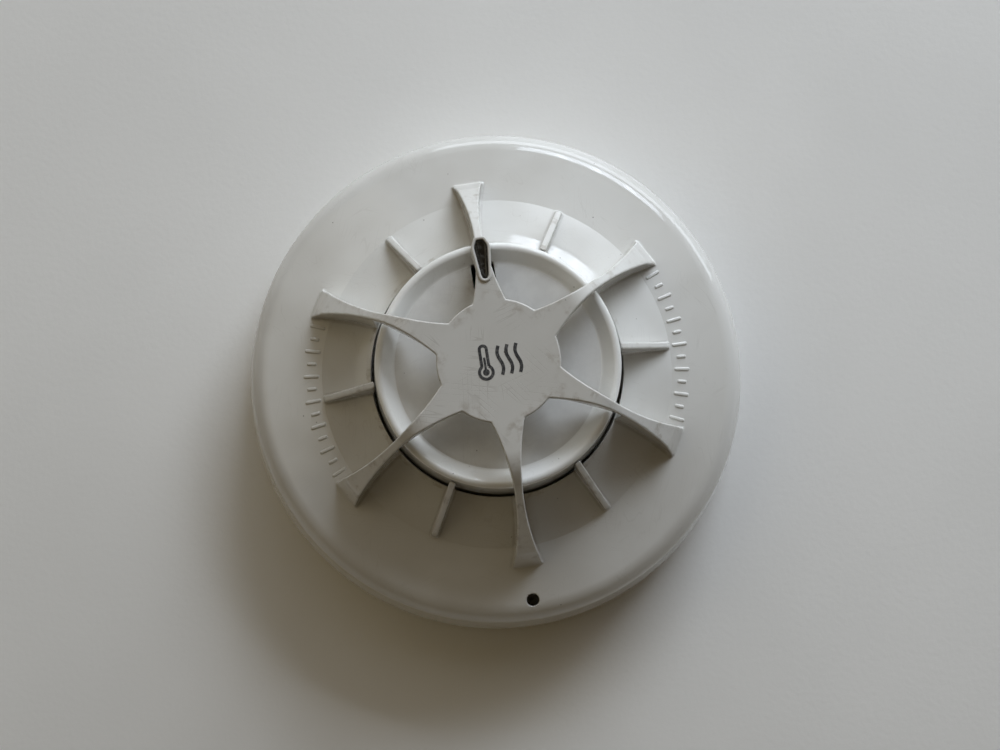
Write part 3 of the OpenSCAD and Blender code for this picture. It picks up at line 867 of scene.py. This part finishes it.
def ceramic_chip(name, body, reach):
    """Chip part: ceramic body with tinned ends along Y, repeated every reach millimetres."""
    f = Finish(name)
    grain = f.noise(0.22, 4, 0.6)
    tone = f.blend(f.band(grain, 0.35, 0.7), body, tuple(c * 0.7 for c in body))
    along = f.maths("FRACT", f.maths("MULTIPLY", f.y, 1 / reach))
    tips = f.band(f.maths("ABSOLUTE", f.maths("SUBTRACT", along, 0.5)), 0.3, 0.34)
    f.set("Base Color", f.blend(tips, tone, (0.7, 0.7, 0.68)))
    f.set("Metallic", f.maths("MULTIPLY", tips, 0.9))
    f.set("Roughness", f.band(grain, 0.3, 0.7, 0.3, 0.5))
    f.bump((grain, 0.01))
    return f.material


def plain_paper():
    """Blank label: paper fibres, a pale border line and a slightly soiled middle."""
    f = Finish("plain_paper")
    r = f.node("ShaderNodeVectorMath", operation="LENGTH",
               Vector=f.moved((1, 1, 0))).outputs["Value"]
    line = f.band(f.maths("ABSOLUTE", f.maths("SUBTRACT", r, 18.3)), 0.12, 0.2, 1, 0)
    fibre, stain = f.noise(0.25, 5, 0.7, f.moved((1, 0.3, 1), (0, 0, 30))), f.noise(7, 4)
    tone = f.blend(f.band(stain, 0.4, 0.7), (0.74, 0.72, 0.66), (0.62, 0.58, 0.49))
    tone = f.blend(f.band(fibre, 0.5, 0.8, 0, 0.35), tone, (0.5, 0.47, 0.41))
    f.set("Base Color", f.blend(f.maths("MULTIPLY", line, 0.7), tone, (0.3, 0.3, 0.32)))
    f.set("Roughness", f.band(fibre, 0.3, 0.7, 0.6, 0.8))
    f.bump((fibre, 0.01))
    return f.material


def lamp_epoxy():
    f = Finish("lamp_epoxy", Transmission_Weight=0.35, IOR=1.54)
    haze = f.noise(0.7, 3)
    f.set("Base Color", f.blend(f.band(haze, 0.35, 0.7), (0.62, 0.08, 0.06), (0.75, 0.2, 0.15)))
    f.set("Roughness", f.band(haze, 0.3, 0.7, 0.1, 0.25))
    f.bump((haze, 0.01))
    return f.material


def bead_epoxy():
    f = Finish("bead_epoxy", Coat_Weight=0.5)
    dip = f.noise(0.5, 3)
    f.set("Base Color", f.blend(f.band(dip, 0.35, 0.7), (0.02, 0.022, 0.024), (0.07, 0.065, 0.06)))
    f.set("Roughness", f.band(dip, 0.3, 0.7, 0.22, 0.45))
    f.bump((dip, 0.06))
    return f.material


def pale_floor():
    f = Finish("pale_floor")
    broad, fine = f.noise(60, 3), f.noise(1.2, 4)
    f.set("Base Color", f.blend(f.band(broad, 0.3, 0.7), (0.88, 0.875, 0.86), (0.92, 0.915, 0.90)))
    f.set("Roughness", f.band(fine, 0.3, 0.7, 0.6, 0.75))
    f.bump((fine, 0.03))
    return f.material


# ---- The object ----

def show(piece, body, material, replaced=()):
    """Gives a piece its material and its body, and hides the CAD nodes that it stands in for."""
    piece.data.materials.clear()
    piece.data.materials.append(material)
    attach(piece, body)
    if replaced:
        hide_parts(*replaced)


def turns(count):
    return np.arange(count) * 2 * math.pi / count


STEPS = 720
cover_grid = Grid(lines((0.4, 12, 0.3), (12, 38, 0.24), (38, 42, 0.5), (42, 50.4, 0.35)), turns(STEPS),
                  lines((7.9, 21, 0.5), (21, 34, 0.26), (34, 43, 0.3), (43, 50.3, 0.2)))
ring_grid = Grid(lines((1.9, 17, 0.4), (17, 23.6, 0.16), (23.6, 31.5, 0.5)), turns(STEPS),
                 lines((16.3, 36, 0.6), (36, 43, 0.16)))
base_grid = Grid(lines((15.5, 42, 0.4), (42, 50.5, 0.3)), turns(STEPS), lines((-0.35, 8.4, 0.25)))

white = white_plastic("cover_plastic", (0.76, 0.755, 0.73), (0.70, 0.69, 0.66), 0.38, 0.26, 0.08, 0.8)
dusty = white_plastic("ring_plastic", (0.92, 0.92, 0.90), (0.85, 0.85, 0.825), 0.5, 0.0, 0.09, 0.7,
                      dusty_dish)
back_white = white_plastic("base_plastic", (0.73, 0.725, 0.70), (0.66, 0.65, 0.62), 0.4, 0.0, 0.3, 0.3)

shell = moulded("outer_cover_shell", outer_cover, cover_grid, 195000, line=(CONE_R, CONE_Z - 1))
show(shell, "head", white, ["outer_cover"])
show(moulded("inner_cover_ring", inner_cover, ring_grid, 110000), "head", dusty,
     ["inner_cover"])
show(moulded("base_shell", base_moulding, base_grid, 110000), "base", back_white,
     ["base_moulding"])
show(indicator_frame(), "head", white)
show(raised_marks(), "head", white)
show(printed_mark(), "head", dark_ink())
show(light_pipe(), "head", smoky_lens(), ["light_pipe"])
show(bead(), "head", bead_epoxy(), ["thermistor_bead"])

STEEL = metal("spring_metal", (0.62, 0.61, 0.58), (0.42, 0.39, 0.34), 0.28, (1, 8, 1))
ZINC = metal("zinc_plate", (0.66, 0.66, 0.64), (0.44, 0.43, 0.38), 0.3, (6, 1, 1))
TIN = metal("bright_tin", (0.74, 0.73, 0.71), (0.5, 0.48, 0.44), 0.22, (1, 1, 8))
BRASS = metal("brass", (0.72, 0.53, 0.22), (0.42, 0.29, 0.13), 0.25, (1, 6, 1))
CHIP = moulded_black("chip_resin", (0.018, 0.018, 0.02))

# Material and edge bevel in millimetres of every CAD node that is shown as it is
CARRIED = {
    "contact_springs": (STEEL, 0.08), "terminal_clamps": (STEEL, 0.2), "terminal_screws": (ZINC, 0.2),
    "earth_clamp": (BRASS, 0.2), "earth_screw": (ZINC, 0.2), "indicator_led": (lamp_epoxy(), 0.1),
    "thermistor_leads": (TIN, 0.04), "circuit_board": (green_board(), 0.12), "control_chip": (CHIP, 0.08),
    "bridge_diodes": (CHIP, 0.15), "smoothing_capacitors": (printed_sleeve(), 0.35),
    "chip_resistors": (ceramic_chip("resistor_glaze", (0.03, 0.03, 0.035), 3.0), 0.06),
    "chip_capacitors": (ceramic_chip("capacitor_glaze", (0.42, 0.30, 0.18), 3.4), 0.08),
    "switching_transistor": (CHIP, 0.1), "board_screws": (ZINC, 0.12), "rear_chassis": (back_white, 0.15),
    "chassis_screws": (ZINC, 0.15), "contact_blades": (STEEL, 0.1), "blade_rivets": (TIN, 0.12),
    "contact_pins": (BRASS, 0.08), "rear_label": (plain_paper(), 0.03), "locking_screw": (ZINC, 0.1),
}

for name, (material, bevel) in CARRIED.items():
    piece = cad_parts[name]
    for n in range(len(piece.material_slots)):
        piece.material_slots[n].material = material
    weld = piece.modifiers.new("weld", "WELD")
    weld.merge_threshold = 0.002 * MM
    round_off = piece.modifiers.new("edges", "BEVEL")
    round_off.width, round_off.segments = bevel * MM, 2
    round_off.limit_method, round_off.angle_limit = "ANGLE", math.radians(38)
    round_off.use_clamp_overlap = True
    piece.modifiers.new("normals", "WEIGHTED_NORMAL").keep_sharp = True


# ---- Floor, light and camera ----

def floor():
    """The floor lies a hair above the base's underside, so that the two never share a plane."""
    half, cells = 1.6, 24
    bm = bmesh.new()
    bmesh.ops.create_grid(bm, x_segments=cells, y_segments=cells, size=half)
    mesh = bpy.data.meshes.new("floor")
    bm.to_mesh(mesh)
    bm.free()
    made = bpy.data.objects.new("floor", mesh)
    made.location.z = 0.03 * MM
    bpy.context.scene.collection.objects.link(made)
    mesh.materials.append(pale_floor())


def aimed(made, at, target):
    """Puts a light at a place, facing a target."""
    made.location = at
    made.rotation_mode = "QUATERNION"
    made.rotation_quaternion = (Vector(target) - Vector(at)).to_track_quat("-Z", "Y")


def direction(azimuth, elevation):
    """Unit vector towards a bearing, counted from +X towards +Y."""
    a, e = math.radians(azimuth), math.radians(elevation)
    return Vector((math.cos(a) * math.cos(e), math.sin(a) * math.cos(e), math.sin(e)))


def area_light(name, azimuth, elevation, distance, size, power, colour):
    lamp = bpy.data.lights.new(name, "AREA")
    lamp.shape, lamp.size, lamp.size_y = "RECTANGLE", *size
    lamp.energy, lamp.color = power, colour
    made = bpy.data.objects.new(name, lamp)
    bpy.context.scene.collection.objects.link(made)
    aimed(made, direction(azimuth, elevation) * distance, (0, 0, 0.03))


def studio():
    """A tall window on one side, in panes, and a room round it that sends back a warmer light."""
    bearing, height, distance = 57, 36, 1.1
    wide, tall, gap = 8.8, 6.0, 0.4
    size = [2 * distance * math.tan(math.radians(a - gap) / 2) for a in (wide, tall)]
    for across in (-1.5, -0.5, 0.5, 1.5):
        for up in (-1, 0, 1):
            area_light(f"pane_{across}_{up}", bearing + across * wide, height + up * tall, distance,
                       size, 0.46, (0.82, 0.90, 1.0))
    area_light("upper_wall", 76, 52, 0.95, (1.0, 0.62), 1.0, (0.96, 0.98, 1.0))
    area_light("side_wall", 150, 48, 1.5, (1.4, 1.0), 1.95, (1.0, 0.86, 0.58))
    area_light("low_glow", bearing, 9, 1.1, (1.7, 0.36), 7.5, (0.86, 0.93, 1.0))
    area_light("under_floor", 200, -50, 0.9, (1.2, 1.2), 5.0, (1.0, 0.97, 0.93))
    world = bpy.data.worlds.new("room")
    world.use_nodes = True
    sky = world.node_tree.nodes["Background"]
    sky.inputs["Color"].default_value = (1.0, 0.76, 0.42, 1)
    sky.inputs["Strength"].default_value = 0.06
    bpy.context.scene.world = world
    bpy.context.scene.view_settings.view_transform = "Standard"


def camera():
    """Almost straight above, with the indicator arm turned a little to the left."""
    elevation, azimuth, roll = math.radians(84.71), math.radians(-17.45), math.radians(8.45)
    target, distance = Vector((0.45, -0.63, 27.6)) * MM, 275.5 * MM
    back = Vector((math.sin(azimuth) * math.cos(elevation), -math.cos(azimuth) * math.cos(elevation),
                   math.sin(elevation)))
    right = (-back).cross(Vector((0, 0, 1))).normalized()
    up = right.cross(-back)
    lens = bpy.data.cameras.new("camera")
    lens.sensor_width, lens.lens = 36, 51.98
    lens.clip_start = 0.01
    made = bpy.data.objects.new("camera", lens)
    bpy.context.scene.collection.objects.link(made)
    turned_right = right * math.cos(roll) + up * math.sin(roll)
    turned_up = up * math.cos(roll) - right * math.sin(roll)
    facing = Matrix((turned_right, turned_up, back)).transposed().to_4x4()
    made.matrix_world = Matrix.Translation(target + back * distance) @ facing
    bpy.context.scene.camera = made


floor()
studio()
camera()
